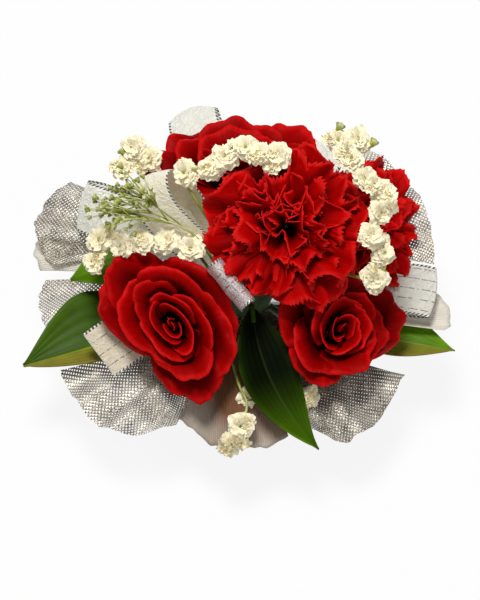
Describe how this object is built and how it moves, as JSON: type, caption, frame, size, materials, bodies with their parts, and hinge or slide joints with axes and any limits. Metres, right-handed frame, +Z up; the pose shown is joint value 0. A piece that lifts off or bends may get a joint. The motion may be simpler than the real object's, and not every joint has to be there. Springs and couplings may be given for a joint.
{
  "type": "wrist corsage",
  "caption": "Wrist corsage of red roses and carnations with leaves, filler sprigs, ribbon loops and net fans, taped and clipped to an elastic wristlet band.",
  "frame": {"origin": "centre of the flat underside of the wristlet band's lower run", "axes": "+Z up from the band to the flowers, Y along the wrist, -Y the side of the viewer, +X to the viewer's right"},
  "size_m": [0.1302, 0.1108, 0.0949],
  "materials": {
    "elastic": "woven white elastic, matt",
    "steel": "stamped bright steel",
    "tape": "green stem tape, waxy and creased",
    "rose_petal": "velvety deep red petal",
    "carnation_petal": "bright red ruffled petal",
    "calyx": "matt green",
    "leaf": "glossy green leaf with a pale midrib",
    "sheer_ribbon": "sheer white ribbon with metallic edges",
    "silver_net": "silver net with metallic threads",
    "satin": "white satin, soft sheen",
    "filler_flower": "creamy white small petals",
    "green_bud": "matt yellow-green buds"
  },
  "bodies": {
    "corsage": {"elastic_upper": "elastic", "elastic_left": "elastic", "elastic_right": "elastic", "clip_plate": "steel", "rivet_left": "steel", "rivet_right": "steel", "stem_bundle": "tape", "carnation_centre_stem": "tape", "carnation_right_stem": "tape", "rose_left_stem": "tape", "rose_right_stem": "tape", "rose_back_stem": "tape", "rose_left_bud": "rose_petal", "rose_left_petals": "rose_petal", "rose_right_bud": "rose_petal", "rose_right_petals": "rose_petal", "rose_back_bud": "rose_petal", "rose_back_petals": "rose_petal", "carnation_centre_petals": "carnation_petal", "carnation_right_petals": "carnation_petal", "rose_left_calyx": "calyx", "rose_right_calyx": "calyx", "rose_back_calyx": "calyx", "carnation_centre_calyx": "calyx", "carnation_right_calyx": "calyx", "leaf_left": "leaf", "leaf_left_upper": "leaf", "leaf_right": "leaf", "leaf_front": "leaf", "sheer_loop_centre": "sheer_ribbon", "sheer_loop_inner_left": "sheer_ribbon", "sheer_loop_left": "sheer_ribbon", "sheer_loop_lower_left": "sheer_ribbon", "sheer_loop_top": "sheer_ribbon", "sheer_loop_right": "sheer_ribbon", "sheer_loop_top_right": "sheer_ribbon", "net_left_upper": "silver_net", "net_left_middle": "silver_net", "net_front_left": "silver_net", "net_front_right": "silver_net", "net_right_upper": "silver_net", "satin_tail_left": "satin", "satin_tail_right": "satin", "satin_tail_front": "satin", "sprig_arc_top": "filler_flower", "sprig_arc_right": "filler_flower", "sprig_upper_left": "filler_flower", "sprig_lower_left": "filler_flower", "sprig_front": "filler_flower", "sprig_buds": "green_bud"},
    "band_lower": {"elastic_lower": "elastic"},
    "tab_back_left": {"clip_tab_back_left": "steel"},
    "tab_back_right": {"clip_tab_back_right": "steel"},
    "tab_front_left": {"clip_tab_front_left": "steel"},
    "tab_front_right": {"clip_tab_front_right": "steel"}
  },
  "joints": [
    {"name": "wristlet_stretch", "type": "slide", "parent": "corsage", "child": "band_lower", "axis": [0, 0, -1], "range_m": [0, 0.03], "stiffness_N_per_m": 60, "deforming": ["elastic_left", "elastic_right"]},
    {"name": "tab_back_left_bend", "type": "hinge", "parent": "corsage", "child": "tab_back_left", "pos_m": [-0.009, 0.00915, 0.0237], "axis": [-1, 0, 0], "range_deg": [0, 60]},
    {"name": "tab_back_right_bend", "type": "hinge", "parent": "corsage", "child": "tab_back_right", "pos_m": [0.009, 0.00915, 0.0237], "axis": [-1, 0, 0], "range_deg": [0, 60]},
    {"name": "tab_front_left_bend", "type": "hinge", "parent": "corsage", "child": "tab_front_left", "pos_m": [-0.009, -0.00915, 0.0237], "axis": [1, 0, 0], "range_deg": [0, 60]},
    {"name": "tab_front_right_bend", "type": "hinge", "parent": "corsage", "child": "tab_front_right", "pos_m": [0.009, -0.00915, 0.0237], "axis": [1, 0, 0], "range_deg": [0, 60]}
  ]
}
